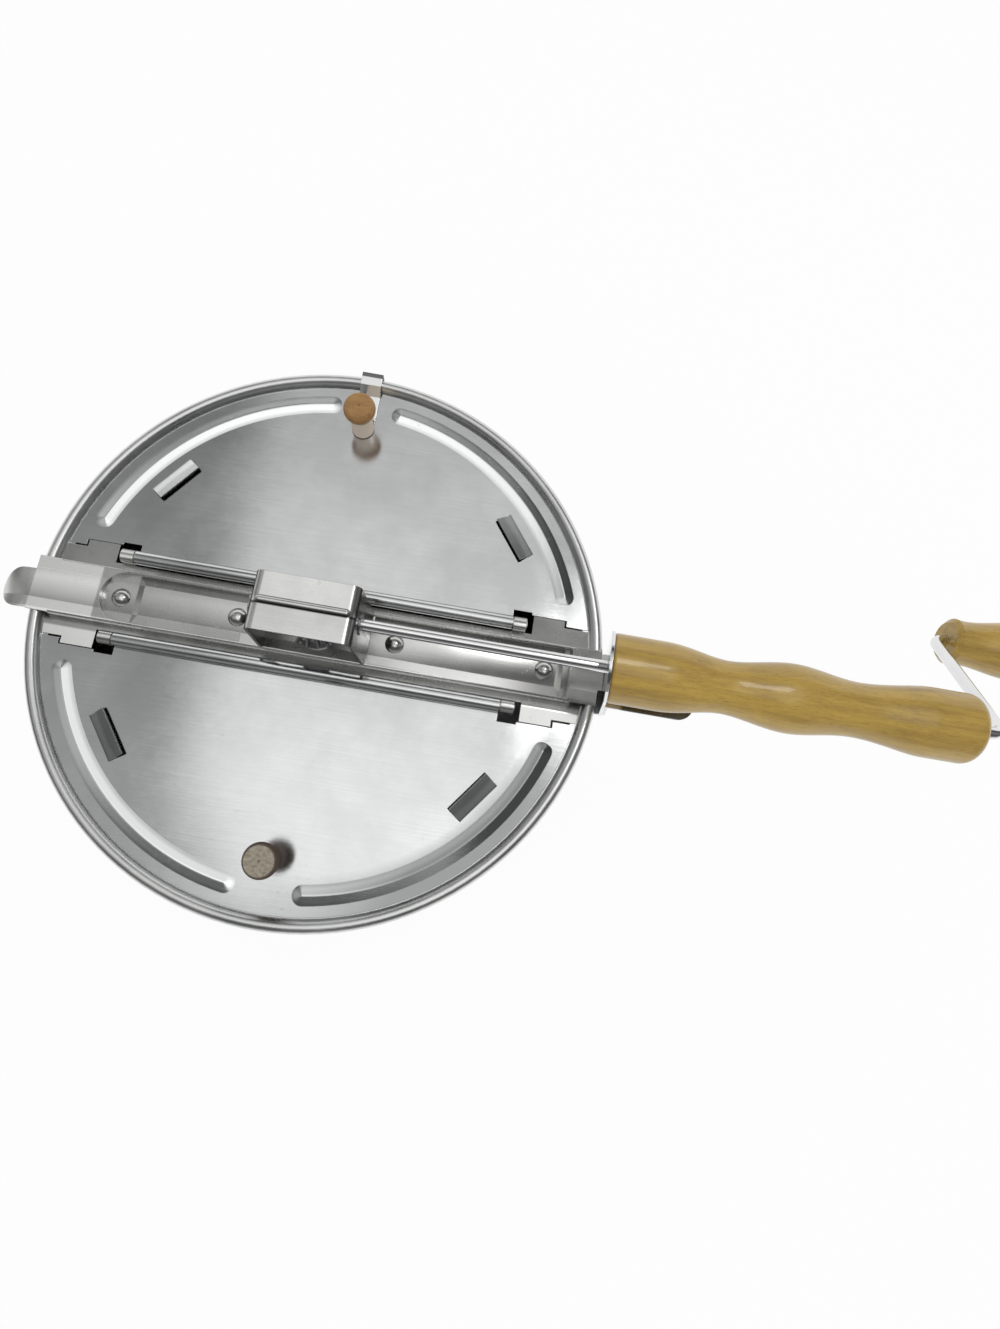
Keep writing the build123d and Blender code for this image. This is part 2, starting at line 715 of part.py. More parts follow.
def make_shaft_bush():
    low = seat_height - shaft_bush_drop
    flange_top = bridge_rib_top + shaft_bush_flange
    bush = rod_z(low, flange_top, shaft_bush_radius)
    bush += rod_z(bridge_rib_top, flange_top, shaft_bush_flange_radius)
    return bush - rod_z(0, LONG, shaft_radius + running_fit)


# ---------------------------------------------------------------- crank
def inner_nut_start():
    """The face of the rod's push nut that runs against the left bush."""
    return wall_face(-1, rod_height) - bush_overhang - nut_gap


def rod_left_end():
    """Crank rod's inner end, just past its push nut."""
    return inner_nut_start() - push_nut_thickness - rod_overhang


def knob_end():
    return arm_place + rod_radius + crank_knob_gap + crank_knob_length


def rod_tip():
    return knob_end() + nut_gap + push_nut_thickness + rod_overhang


def make_crank_rod():
    path = FilletPolyline(
        (rod_left_end(), 0, rod_height),
        (arm_place, 0, rod_height),
        (arm_place, knob_axis_y, knob_axis_height),
        (rod_tip(), knob_axis_y, knob_axis_height),
        radius=rod_bend_radius,
    )
    section = Plane(path @ 0, z_dir=path % 0) * Circle(rod_radius)
    rod = sweep(section, path=path)
    return rod - crank_pin_at(gear_pin_radius)


def push_nut(start, side, y, z):
    nut = rod_x(start, start + side * push_nut_thickness, push_nut_radius, y, z)
    return nut - rod_x(-LONG, LONG, rod_radius, y, z)


def make_crank_knob():
    length = crank_knob_length
    points = [
        (0, 0),
        (crank_knob_inner_radius - 2.0, 0),
        (crank_knob_inner_radius, 2.0),
        (crank_knob_waist_radius, length * 0.2),
        (crank_knob_radius - 0.8, length * 0.52),
        (crank_knob_radius, length * 0.7),
        (crank_knob_radius - 1.4, length * 0.9),
        (crank_knob_radius - 5.5, length),
        (0, length),
    ]
    outline = Spline(*points[2:-1]) + Line(points[0], points[1]) + Line(points[1], points[2])
    outline += Line(points[-2], points[-1]) + Line(points[-1], points[0])
    knob = revolve(Plane.XZ * make_face(outline), Axis.Z)
    knob -= rod_z(-1, LONG, rod_radius + running_fit)
    start = knob_end() - length
    return Pos(start, knob_axis_y, knob_axis_height) * Rot(0, 90, 0) * knob


# ---------------------------------------------------------------- handle and bracket
def leaned(piece):
    """Carry a piece from its own frame to the leaning end plate: its X = 0 becomes the plate's inner face."""
    return Pos(plate_foot_place, 0, rim_height) * Rot(0, -plate_lean, 0) * piece


def make_grip():
    """The turned wooden handle, bored through for the crank rod, its inner end cut to the end plate."""
    length = grip_length
    early = -grip_radius_inner
    profile = [
        (grip_radius_inner, grip_plain_length),
        (grip_radius_waist, length * 0.313),
        (grip_radius_middle, length * 0.492),
        (grip_radius_second_waist, length * 0.668),
        (grip_radius_outer - 0.2, length * 0.845),
        (grip_radius_outer, length - grip_end_round - 4),
    ]
    end_radius = grip_radius_outer - grip_end_round
    outline = Spline(*profile, tangents=((0, 1), (0, 1)))
    outline += Polyline((0, early), (grip_radius_inner, early), profile[0])
    outline += Line(profile[-1], (grip_radius_outer, length - grip_end_round))
    outline += ThreePointArc(
        (grip_radius_outer, length - grip_end_round),
        (end_radius + grip_end_round * sqrt(0.5), length - grip_end_round * (1 - sqrt(0.5))),
        (end_radius, length),
    )
    outline += Line((end_radius, length), (0, length))
    outline += Line((0, length), (0, early))
    grip = revolve(Plane.XZ * make_face(outline), Axis.Z)
    grip = Pos(grip_start, 0, rod_height) * Rot(0, 90, 0) * grip
    grip -= leaned(block((-LONG, -LONG, -LONG), (end_plate_sheet, LONG, LONG)))
    inner_end = grip.faces().sort_by(Axis.X)[0]
    grip = fillet(inner_end.edges(), grip_inner_round)
    grip -= rod_x(-LONG, LONG, rod_radius + grip_bore_clearance, 0, rod_height)
    for place in grip_screws_at:
        grip -= rod_z(0, grip_screw_top(), grip_screw_radius, grip_start + place)
    return grip


def grip_screw_top():
    return shelf_top + grip_screw_depth


def make_grip_screws():
    screws = []
    low = shelf_top - bracket_sheet
    for place in grip_screws_at:
        x = grip_start + place
        screw = rod_z(low, grip_screw_top(), grip_screw_radius, x)
        head_radius = grip_screw_head_radius
        ball = (head_radius**2 + grip_screw_head**2) / (2 * grip_screw_head)
        head = Pos(x, 0, low - grip_screw_head + ball) * Sphere(ball)
        screw += head & rod_z(low - grip_screw_head, low, head_radius, x)
        screws.append(screw)
    return screws


def tongue_slot():
    """The slot that the bridge's tongue passes through."""
    half = tongue_width / 2 + tongue_clearance
    low = bridge_top - bridge_sheet - tongue_clearance
    return block((rim_radius, -half, low), (LONG, half, bridge_top + tongue_clearance))


def make_end_plate():
    """The round-topped plate between the bridge's end and the handle."""
    top_centre = rod_rise / cos(radians(plate_lean))
    plate = Pos(0, top_centre) * Circle(end_plate_radius)
    middle = (top_centre + end_plate_foot) / 2
    plate += Pos(0, middle) * Rectangle(2 * end_plate_radius, top_centre - end_plate_foot)
    plate = leaned(extrude(Plane.YZ * plate, end_plate_sheet))
    plate -= rod_x(-LONG, LONG, rod_radius + grip_bore_clearance, 0, rod_height)
    return plate - tongue_slot()


def neck_face(height):
    """Where the bracket's neck touches the end plate."""
    return plate_foot_place + plate_thickness_along - plate_slope * (height - rim_height)


def make_bracket():
    """Leg on the pan's wall, neck behind the end plate, and shelf under the handle."""
    sheet, half = bracket_sheet, bracket_half_width
    along = sheet / cos(radians(plate_lean))
    leg = Circle(pan_outer_radius + sheet) - Circle(pan_outer_radius)
    leg &= Pos(LONG / 2, 0) * Rectangle(LONG, 2 * half)
    leg_low, leg_high = rim_height + leg_foot, rim_height + leg_top
    bracket = Pos(0, 0, leg_low) * extrude(leg, leg_high - leg_low)
    leg_inner = sqrt(pan_outer_radius**2 - half**2) + 0.2
    leg_outer = pan_outer_radius + sheet
    neck_low = rim_height + neck_foot
    slant = make_face(
        Polyline(
            (leg_inner, leg_high - 1.2),
            (leg_outer, leg_high - 1.2),
            (neck_face(neck_low) + along, neck_low),
            (neck_face(shelf_top) + along, shelf_top),
            (neck_face(shelf_top), shelf_top),
            (neck_face(neck_low + 0.6), neck_low + 0.6),
            (leg_outer - sheet, leg_high + 0.6),
            (leg_inner, leg_high + 0.6),
            close=True,
        )
    )
    bracket += Plane.XZ * extrude(slant, half, both=True)
    shelf_start = neck_face(shelf_top - sheet)
    shelf_end = grip_start + shelf_length
    shelf = Pos((shelf_start + shelf_end) / 2, 0) * Rectangle(shelf_end - shelf_start, 2 * half)
    shelf = fillet(shelf.vertices().sort_by(Axis.X)[-2:], shelf_corner)
    bracket += Pos(0, 0, shelf_top - sheet) * extrude(shelf, sheet)
    bracket -= rod_z(0, rim_height - 5, pan_outer_radius)
    for y, rise in bracket_rivets_at:
        bracket -= rod_x(pan_bore_radius - 5, pan_outer_radius + 6, rivet_radius, y, rim_height + rise)
    for place in grip_screws_at:
        bracket -= rod_z(shelf_top - 5, shelf_top + 1, grip_screw_radius, grip_start + place)
    return bracket - tongue_slot()


def make_bracket_rivets():
    rivets = []
    outer = pan_outer_radius + bracket_sheet
    for y, rise in bracket_rivets_at:
        edge = sqrt(outer**2 - y**2)
        inner_edge = sqrt(pan_bore_radius**2 - y**2)
        rivet = dome_rivet(
            rivet_head_radius, rivet_head_height, rivet_radius, edge - inner_edge, rivet_tail_height
        )
        rivet = Pos(edge, y, rim_height + rise) * Rot(0, 90, 0) * rivet
        shell = Cylinder(outer, 4 * rim_height) - Cylinder(pan_bore_radius, 4 * rim_height)
        shank = rod_x(0, LONG, rivet_radius, y, rim_height + rise)
        rivets.append((rivet - shell) + (rivet & shank))
    return rivets


# ---------------------------------------------------------------- lid knobs and clip
def make_lid_knob(seat, offset):
    """A turned wooden knob standing on seat, screwed from below."""
    height, mark = lid_knob_height, lid_knob_centre_mark
    head_low = height - lid_knob_head
    head = Spline(
        (lid_knob_stem_radius + 0.8, head_low),
        (lid_knob_radius - 0.3, head_low + lid_knob_head * 0.3),
        (lid_knob_radius, head_low + lid_knob_head * 0.62),
        (lid_knob_top_radius, height),
    )
    stem = Polyline(
        (0, height - mark),
        (0, 0),
        (lid_knob_foot_radius, 0),
        (lid_knob_stem_radius, head_low / 2),
        (lid_knob_stem_radius, head_low - 0.6),
        (lid_knob_stem_radius + 0.8, head_low),
    )
    top = Polyline((lid_knob_top_radius, height), (mark, height), (0, height - mark))
    knob = revolve(Plane.XZ * make_face(head + stem + top), Axis.Z)
    knob = Pos(0, offset, seat) * knob
    return knob - rod_z(0, knob_screw_top(), knob_screw_radius, 0, offset)


def knob_screw_top():
    return lid_top + knob_screw_depth


def make_knob_screw(offset):
    screw = rod_z(seat_height, knob_screw_top(), knob_screw_radius, 0, offset)
    return screw + rod_z(
        seat_height - knob_screw_head, seat_height, knob_screw_head_radius, 0, offset
    )


def make_rim_clip():
    """A bent spring strip under the north knob that snaps over the rim."""
    sheet = rim_clip_sheet
    low = lid_top
    over = rim_height + rim_bead_radius + rim_clip_air
    lip = rim_radius + rim_clip_air
    half = rim_clip_width / 2
    inner_end = lid_knob_north - half
    ramp_start = rim_bore_radius - rim_clip_ramp_inset
    ramp_end = ramp_start + rim_clip_ramp_length
    lip_low = rim_height - rim_clip_lip
    lean = 0.3
    profile = make_face(
        Polyline(
            (inner_end, low),
            (ramp_start, low),
            (ramp_end, over),
            (lip, over),
            (lip + lean, lip_low),
            (lip + lean + sheet, lip_low),
            (lip + sheet, over + sheet * 0.5),
            (lip + sheet * 0.5, over + sheet),
            (ramp_end - sheet * 0.4, over + sheet),
            (ramp_start - sheet * 0.6, low + sheet),
            (inner_end, low + sheet),
            close=True,
        )
    )
    clip = Plane.YZ * extrude(profile, half, both=True)
    round_tail = block((-half, 0, 0), (half, lid_knob_north, LONG)) - rod_z(0, LONG, half, 0, lid_knob_north)
    return clip - round_tail - rod_z(0, LONG, knob_screw_radius, 0, lid_knob_north)


# ---------------------------------------------------------------- all nodes
hinge_wire = make_hinge_wire()
nodes = {
    "pan": [make_pan()],
    "handle_bracket": [make_bracket()],
    "bracket_end_plate": [make_end_plate()],
    "bracket_rivets": make_bracket_rivets(),
    "handle_grip": [make_grip()],
    "grip_screws": make_grip_screws(),
    "hinge_strip": [make_hinge_strip()],
    "bridge_channel": [make_bridge()],
    "bridge_rivets": make_bridge_rivets(),
    "hinge_wire_north": [hinge_wire],
    "hinge_wire_south": [mirror_south(hinge_wire)],
    "gear_housing": [make_gear_housing()],
    "rod_bushes": make_rod_bushes(),
    "shaft_bush": [make_shaft_bush()],
    "crank_rod": [make_crank_rod()],
    "crank_gear": [make_crank_gear()],
    "crank_gear_pin": [crank_pin_at(gear_pin_radius)],
    "rod_push_nut": [push_nut(inner_nut_start(), -1, 0, rod_height)],
    "crank_knob": [make_crank_knob()],
    "knob_push_nut": [push_nut(knob_end() + nut_gap, 1, knob_axis_y, knob_axis_height)],
    "stirrer_shaft": [make_stirrer_shaft()],
    "stirrer_gear": [make_stirrer_gear()],
    "stirrer_gear_pin": [stirrer_pin_at(gear_pin_radius)],
    "shaft_clip": [make_shaft_clip()],
    "stir_wire": [stir_wire_solid()],
    "lid_north": [make_lid(lid_knob_north)],
    "lid_south": [mirror_south(make_lid(lid_knob_south))],
    "lid_knob_north": [make_lid_knob(lid_top + rim_clip_sheet, lid_knob_north)],
    "lid_knob_south": [make_lid_knob(lid_top, -lid_knob_south)],
    "knob_screw_north": [make_knob_screw(lid_knob_north)],
    "knob_screw_south": [make_knob_screw(-lid_knob_south)],
    "rim_clip": [make_rim_clip()],
}

for name, solids in nodes.items():
    shape = solids[0] if len(solids) == 1 else Compound(children=solids)
    export_step(shape, f"parts/{name}.step")
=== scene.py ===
"""Finishes, dressed pieces, lights and camera for a stovetop popcorn popper."""

from math import pi, radians

import bpy
from bpy.props import FloatProperty, FloatVectorProperty, PointerProperty
from mathutils import Euler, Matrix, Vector


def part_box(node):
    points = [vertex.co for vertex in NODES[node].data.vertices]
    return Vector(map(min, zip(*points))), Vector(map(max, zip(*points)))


bl_info = {
    "name": "Stovetop Popper Dresser",
    "version": (1, 0, 0),
    "blender": (4, 5, 0),
    "location": "View3D > Sidebar > Popper",
    "description": "Gives a stovetop popcorn popper its finishes, its floor, its lights and its camera",
    "category": "Object",
}

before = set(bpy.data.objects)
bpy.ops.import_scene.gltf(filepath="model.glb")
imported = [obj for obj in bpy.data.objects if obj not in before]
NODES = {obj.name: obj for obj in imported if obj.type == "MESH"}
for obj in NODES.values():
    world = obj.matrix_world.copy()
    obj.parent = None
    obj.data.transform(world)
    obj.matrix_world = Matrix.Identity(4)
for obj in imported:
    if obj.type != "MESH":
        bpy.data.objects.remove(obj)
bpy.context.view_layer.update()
RIM_HEIGHT = 0.138

# Lengths are in metres.
EDGE_SOFTENING = 0.00035    # radius at which the shader rounds a sheet's edges
BRUSH_DEPTH = 0.00004
GRAIN_DEPTH = 0.0002
MASK_EDGE = 0.0002          # half the width of a mask's soft edge
HIGHLIGHT_STEP = 0.0003        # height over which a raised place gets a painted highlight
HIGHLIGHT_RING = (0.094, 0.0955)   # radii between which the lids' painted highlight ring begins
# radii of the lids' outer ring that gets painted shade in one corner
SHADE_RING = (0.098, 0.106)
# Painted shade: the colour and soft edge of a dark band painted along a fold or a lip.
PAINTED_SHADE_EDGE = 0.0004
PAINTED_SHADE = (0.03, 0.03, 0.03, 1.0)
SPECK = (0.85, 0.85, 0.85, 1.0)
KNOB_NECK = 0.0125          # height of the varnish's lower edge on the north knob
HINGE_CLEAR = 0.0226        # reach of the lids' barrels from the middle of the bridge
CLIP_BAND = 0.0024          # width of the painted shade band on the clip's lip
# places along X where the bracket's painted shade begins; nearer the pan it keeps the pan's colour
BRACKET_NECK = (0.1265, 0.1285)
# edges along Y of the fold under the housing's bead, painted dark as shade
HOUSING_CREASE = (-0.0013, -0.0008)

# How sheets lean: axis they lean to, axis it changes along, two places and the amounts there.
CHANNEL_LEANS = (
    ("Y", "Y", -0.0062, 0.0062, 0.2, -0.2),
    ("Y", "Y", -0.0066, -0.0062, -0.2, 0.0),
    ("Y", "Y", 0.0062, 0.0066, 0.0, 0.2),
    ("X", "X", 0.03, 0.10, 0.0, 0.16),
    ("Y", "X", 0.03, 0.07, 0.0, 0.13),
    ("X", "X", -0.0935, -0.0925, 0.14, 0.0),
    ("X", "Y", -0.0108, -0.0103, 0.12, 0.0),
    ("Y", "Y", -0.0108, -0.0103, -0.1, 0.0),
)
WING_LEANS = (
    ("Y", "Y", -0.0165, -0.0155, -0.1, 0.22),
    ("X", "X", -0.075, -0.07, 0.12, 0.0),
)
HOUSING_LEANS = (("Y", "Y", 0.0008, 0.0015, 0.0, -0.1),)
CLIP_LEANS = (("Y", "Z", 0.0, 1.0, -0.2, -0.2),)

# The mirrored room: right and rear are X and Y over height of a direction. Each row holds the
# axis, two places on it and the brightness there.
ROOM_FADES = (
    ("rear", 0.5, 0.95, 1.0, 0.12),
    ("rear", -0.6, -0.4, 0.18, 1.0),
    ("right", 0.34, 0.42, 1.0, 0.15),
    ("right", -1.9, -1.1, 0.25, 1.0),
)
ROOM_HORIZONS = (
    ("rear", 1.2, 2.0, 0.08, 1.0),
    ("rear", -2.6, -1.6, 0.25, 0.08),
)
WINDOW_PLACE = (0.257, 0.16, 0.838)
WINDOW_TARGET = (0.18, 0.0, 0.18)
WINDOW_SIZE = (0.126, 0.2)
BACKDROP = 0.97
FLOOR_GLOW = 0.93


# ------------------------------------------------------------------ settings
def colour(name, description, default):
    return FloatVectorProperty(
        name=name, description=description, default=default, subtype="COLOR", size=3, min=0.0, max=1.0
    )


def length(name, description, default):
    return FloatProperty(name=name, description=description, default=default, unit="LENGTH")


def share(name, description, default):
    return FloatProperty(
        name=name, description=description, default=default, min=0.0, max=1.0, subtype="FACTOR"
    )


class PopperMetals(bpy.types.PropertyGroup):
    """Colours of the sheet metal and the polished pieces."""

    pan: colour("Pan", "Spun aluminium of the pan and its rolled rim", (0.74, 0.75, 0.74))
    lid: colour("Lids", "Brushed aluminium of the half lids", (0.75, 0.76, 0.76))
    bridge: colour("Bridge", "Plated steel of the bridge", (0.68, 0.68, 0.66))
    housing: colour("Housing", "Bright steel of the gear housing", (0.78, 0.78, 0.76))
    polished: colour("Polished steel", "Rod, wires and rim clip", (0.80, 0.80, 0.80))
    dark: colour("Gear steel", "Gears and fasteners", (0.36, 0.36, 0.37))
    # The bracket's near-black colour is painted shade under the handle.
    bracket: colour("Bracket", "Handle bracket's steel, dark with painted shade", (0.16, 0.155, 0.15))
    lid_gloss: share("Lid roughness", "How blurred the lids' reflections are", 0.14)


class PopperWoods(bpy.types.PropertyGroup):
    """Colours of the turned wooden pieces."""

    handle: colour("Handle", "Varnished wood of the handle and the crank knob", (0.47, 0.31, 0.062))
    handle_dark: colour("Handle grain", "Darker grain lines in the handle", (0.30, 0.185, 0.04))
    north: colour("North knob", "Worn varnish of the knob on the rim clip", (0.38, 0.21, 0.075))
    stem: colour("North knob's stem", "Pale bare wood below the varnished head", (0.78, 0.67, 0.56))
    south: colour("South knob", "Bare end grain of the other knob", (0.36, 0.32, 0.25))
    # The south knob's side colour is painted shade on the steep sides of its head.
    south_side_shade: colour("South knob's side", "Painted shade on the steep sides of its head", (0.085, 0.06, 0.045))


class PopperStage(bpy.types.PropertyGroup):
    """Strengths of the lights and size of the floor."""

    window: FloatProperty(name="Window", description="Radiance of the small bright window", default=6.0)
    room: FloatProperty(name="Room", description="Strength of the room that the metal mirrors", default=1.0)
    dome: FloatProperty(
        name="Dome", description="Strength of the soft light on wood and floor", default=0.86
    )
    floor: length("Floor", "Side of the square floor", 6.0)


# ------------------------------------------------------------------ shader building
class Tree:
    """Adds nodes to a node tree with their values and links in one call."""

    def __init__(self, tree):
        self.tree = tree

    def add(self, kind, inputs=None, **settings):
        node = self.tree.nodes.new(kind)
        node.location = (len(self.tree.nodes) * 190 - 1600, 0)
        for key, value in settings.items():
            setattr(node, key, value)
        for key, value in (inputs or {}).items():
            socket = node.inputs[key]
            if isinstance(value, bpy.types.NodeSocket):
                self.tree.links.new(value, socket)
            else:
                socket.default_value = value
        return node

    def math(self, operation, a, b=0.5, clamp=False):
        return self.add("ShaderNodeMath", {0: a, 1: b}, operation=operation, use_clamp=clamp).outputs[0]

    def span(self, value, low, high, to_low=0.0, to_high=1.0):
        inputs = {"Value": value, "From Min": low, "From Max": high, "To Min": to_low, "To Max": to_high}
        return self.add("ShaderNodeMapRange", inputs, clamp=True).outputs[0]

    def mix(self, amount, a, b):
        inputs = {"Factor": amount, 6: a, 7: b}
        return self.add("ShaderNodeMix", inputs, data_type="RGBA").outputs[2]

    def noise(self, vector, scale, detail=2.0, rough=0.5):
        inputs = {"Vector": vector, "Scale": scale, "Detail": detail, "Roughness": rough}
        return self.add("ShaderNodeTexNoise", inputs).outputs["Fac"]


def effect_group(name, inputs, outputs):
    """A node group with named number inputs and outputs, and a vector to place it."""
    group = bpy.data.node_groups.new(name, "ShaderNodeTree")
    group.interface.new_socket(name="Vector", in_out="INPUT", socket_type="NodeSocketVector")
    for label, default in inputs.items():
        socket = group.interface.new_socket(name=label, in_out="INPUT", socket_type="NodeSocketFloat")
        socket.default_value = default
    for label in outputs:
        group.interface.new_socket(name=label, in_out="OUTPUT", socket_type="NodeSocketFloat")
    tree = Tree(group)
    return tree, tree.add("NodeGroupInput"), tree.add("NodeGroupOutput")


def brush_lines():
    """Fine lines along X, as rolled and brushed sheet has."""
    tree, start, end = effect_group("Brush Lines", {"Width": 0.0004, "Length": 0.03}, ["Lines"])
    x = tree.math("DIVIDE", 1.0, start.outputs["Length"])
    y = tree.math("DIVIDE", 1.0, start.outputs["Width"])
    scale = tree.add("ShaderNodeCombineXYZ", {0: x, 1: y, 2: y}).outputs[0]
    inputs = {0: start.outputs["Vector"], 1: scale}
    vector = tree.add("ShaderNodeVectorMath", inputs, operation="MULTIPLY").outputs[0]
    lines = tree.noise(vector, 1.0, 3.0, 0.6)
    tree.tree.links.new(tree.span(lines, 0.3, 0.7), end.inputs["Lines"])
    return tree.tree


def handling_marks():
    """Soft clouds and small pale specks left by washing and handling."""
    sizes = {"Cloud Size": 0.03, "Speck Size": 0.0016}
    tree, start, end = effect_group("Handling Marks", sizes, ["Clouds", "Specks"])
    vector = start.outputs["Vector"]
    cloud_scale = tree.math("DIVIDE", 1.0, start.outputs["Cloud Size"])
    clouds = tree.noise(vector, cloud_scale, 4.0, 0.62)
    speck_scale = tree.math("DIVIDE", 1.0, start.outputs["Speck Size"])
    specks = tree.noise(vector, speck_scale, 1.0, 0.4)
    where = tree.noise(vector, tree.math("MULTIPLY", cloud_scale, 2.3), 2.0, 0.5)
    specks = tree.math("MULTIPLY", tree.span(specks, 0.66, 0.74), tree.span(where, 0.5, 0.62))
    tree.tree.links.new(tree.span(clouds, 0.35, 0.68), end.inputs["Clouds"])
    tree.tree.links.new(specks, end.inputs["Specks"])
    return tree.tree


def turned_grain():
    """Grain of a piece turned from a blank that lies along X, with short pores."""
    tree, start, end = effect_group("Turned Grain", {"Ring": 0.006, "Stretch": 14.0}, ["Grain", "Pores"])
    inverse = tree.math("DIVIDE", 1.0, start.outputs["Stretch"])
    scale = tree.add("ShaderNodeCombineXYZ", {0: inverse, 1: 1.0, 2: 1.0}).outputs[0]
    inputs = {0: start.outputs["Vector"], 1: scale}
    vector = tree.add("ShaderNodeVectorMath", inputs, operation="MULTIPLY").outputs[0]
    ring_scale = tree.math("DIVIDE", 1.0, start.outputs["Ring"])
    broad = tree.noise(vector, ring_scale, 2.0, 0.5)
    fine = tree.noise(vector, tree.math("MULTIPLY", ring_scale, 5.5), 2.0, 0.6)
    grain = tree.math("ADD", tree.math("MULTIPLY", broad, 0.65), tree.math("MULTIPLY", fine, 0.35))
    pores = tree.noise(vector, tree.math("MULTIPLY", ring_scale, 14.0), 1.0, 0.5)
    tree.tree.links.new(tree.span(grain, 0.36, 0.64), end.inputs["Grain"])
    tree.tree.links.new(tree.span(pores, 0.62, 0.7), end.inputs["Pores"])
    return tree.tree


def new_material(name):
    material = bpy.data.materials.new(name)
    material.use_nodes = True
    tree = Tree(material.node_tree)
    shader = next(n for n in material.node_tree.nodes if n.type == "BSDF_PRINCIPLED")
    where = tree.add("ShaderNodeTexCoord").outputs["Object"]
    return material, tree, shader, where


def placed(tree, group, vector, **values):
    node = tree.add("ShaderNodeGroup", node_tree=GROUPS[group])
    tree.tree.links.new(vector, node.inputs["Vector"])
    for key, value in values.items():
        node.inputs[key.replace("_", " ").title()].default_value = value
    return node.outputs


def shade(colour_value, factor):
    return tuple(min(1.0, c * factor) for c in colour_value) + (1.0,)


def leaned_normal(tree, normal, place, leans):
    """Lean a sheet's normals, since pressed sheet is never quite flat.

    Each lean holds the axis it leans to, the axis it changes along, two places on that axis
    and the amounts there.
    """
    for towards, along, low, high, at_low, at_high in leans:
        amount = tree.span(place[along], low, high, at_low, at_high)
        offset = tree.add("ShaderNodeCombineXYZ", {towards: amount}).outputs[0]
        normal = tree.add("ShaderNodeVectorMath", {0: normal, 1: offset}, operation="ADD").outputs[0]
    return tree.add("ShaderNodeVectorMath", {0: normal}, operation="NORMALIZE").outputs[0]


def metal(name, base, roughness, lines=0.0, line_width=0.0004, marks=0.1, bump=0.15, brushed=0.0,
          leans=(), steep_side_shade=1.0, steep_shade_from=0.9, proud=None, shaded_corner=None, middle=0.0, near=None,
          painted_shade_band=None):
    """A bare metal with brushed lines along X, handling marks and softened edges.

    steep_side_shade is painted shade that darkens steep sides, from the normal's height steep_shade_from
    downwards.
    proud is the height above which the lids' outer ring gets a painted highlight.
    middle keeps both of these off what is nearer than it to Y = 0.
    shaded_corner holds two values of X - Y / 2 between which the outer ring is painted darker as shade.
    near holds two places along X and the colour before them.
    painted_shade_band holds the two edges along Y of a band painted dark as shade.
    """
    material, tree, shader, where = new_material(name)
    brush = placed(tree, "Brush Lines", where, width=line_width)["Lines"]
    wear = placed(tree, "Handling Marks", where)
    tone = tree.mix(wear["Clouds"], shade(base, 1 - marks), shade(base, 1 + marks * 0.5))
    tone = tree.mix(tree.math("MULTIPLY", brush, lines), tone, shade(base, 0.8))
    tone = tree.mix(tree.math("MULTIPLY", wear["Specks"], 0.15), tone, SPECK)
    soft = tree.add("ShaderNodeBevel", {"Radius": EDGE_SOFTENING}, samples=4).outputs[0]
    place = tree.add("ShaderNodeSeparateXYZ", {0: where}).outputs
    outside = tree.span(tree.math("ABSOLUTE", place["Y"]), middle - MASK_EDGE, middle + MASK_EDGE)
    # Painted shade: steep sides are darkened by the height of the normal.
    if steep_side_shade < 1.0:
        upward = tree.add("ShaderNodeSeparateXYZ", {0: soft}).outputs["Z"]
        steep = tree.span(upward, steep_shade_from, steep_shade_from - 0.3, 0.0, 1.0)
        tone = tree.mix(tree.math("MULTIPLY", steep, outside), tone, shade(base, steep_side_shade))
    if proud is not None:
        flat_place = tree.add("ShaderNodeCombineXYZ", {0: place["X"], 1: place["Y"]}).outputs[0]
        radius = tree.add("ShaderNodeVectorMath", {0: flat_place}, operation="LENGTH").outputs["Value"]
        # Painted highlight on the raised outer ring of the lids.
        painted_highlight = tree.math("MULTIPLY", tree.span(place["Z"], proud, proud + HIGHLIGHT_STEP), outside)
        painted_highlight = tree.math("MULTIPLY", painted_highlight, tree.span(radius, *HIGHLIGHT_RING))
        tone = tree.mix(painted_highlight, tone, shade(base, 1.25))
        # Painted shade in one corner of the outer ring.
        if shaded_corner is not None:
            corner = tree.math("SUBTRACT", place["X"], tree.math("MULTIPLY", place["Y"], 0.5))
            ring = tree.math("MULTIPLY", tree.span(radius, *SHADE_RING), tree.span(corner, *shaded_corner))
            tone = tree.mix(ring, tone, shade(base, 0.4))
    if near is not None:
        low, high, colour_before = near
        tone = tree.mix(tree.span(place["X"], low, high), shade(colour_before, 1.0), tone)
    # Painted shade: a band along Y coloured dark.
    if painted_shade_band is not None:
        low, high = painted_shade_band
        above = tree.span(place["Y"], low - PAINTED_SHADE_EDGE, low)
        below = tree.span(place["Y"], high, high + PAINTED_SHADE_EDGE, 1.0, 0.0)
        shade_band_mask = tree.math("MULTIPLY", above, below)
        tone = tree.mix(tree.math("MULTIPLY", shade_band_mask, 0.85), tone, PAINTED_SHADE)
    gloss = tree.math("ADD", tree.span(wear["Clouds"], 0, 1, roughness * 0.85, roughness * 1.15),
                      tree.math("MULTIPLY", wear["Specks"], 0.1))
    inputs = {"Height": brush, "Strength": bump, "Distance": BRUSH_DEPTH, "Normal": soft}
    normal = tree.add("ShaderNodeBump", inputs).outputs[0]
    if leans:
        normal = leaned_normal(tree, normal, place, leans)
    shader.inputs["Metallic"].default_value = 1.0
    shader.inputs["Anisotropic"].default_value = brushed
    if brushed:
        across = tree.add("ShaderNodeCombineXYZ", {0: 0.0, 1: 1.0, 2: 0.0}).outputs[0]
        tree.tree.links.new(across, shader.inputs["Tangent"])
    tree.tree.links.new(tone, shader.inputs["Base Color"])
    tree.tree.links.new(gloss, shader.inputs["Roughness"])
    tree.tree.links.new(normal, shader.inputs["Normal"])
    return material


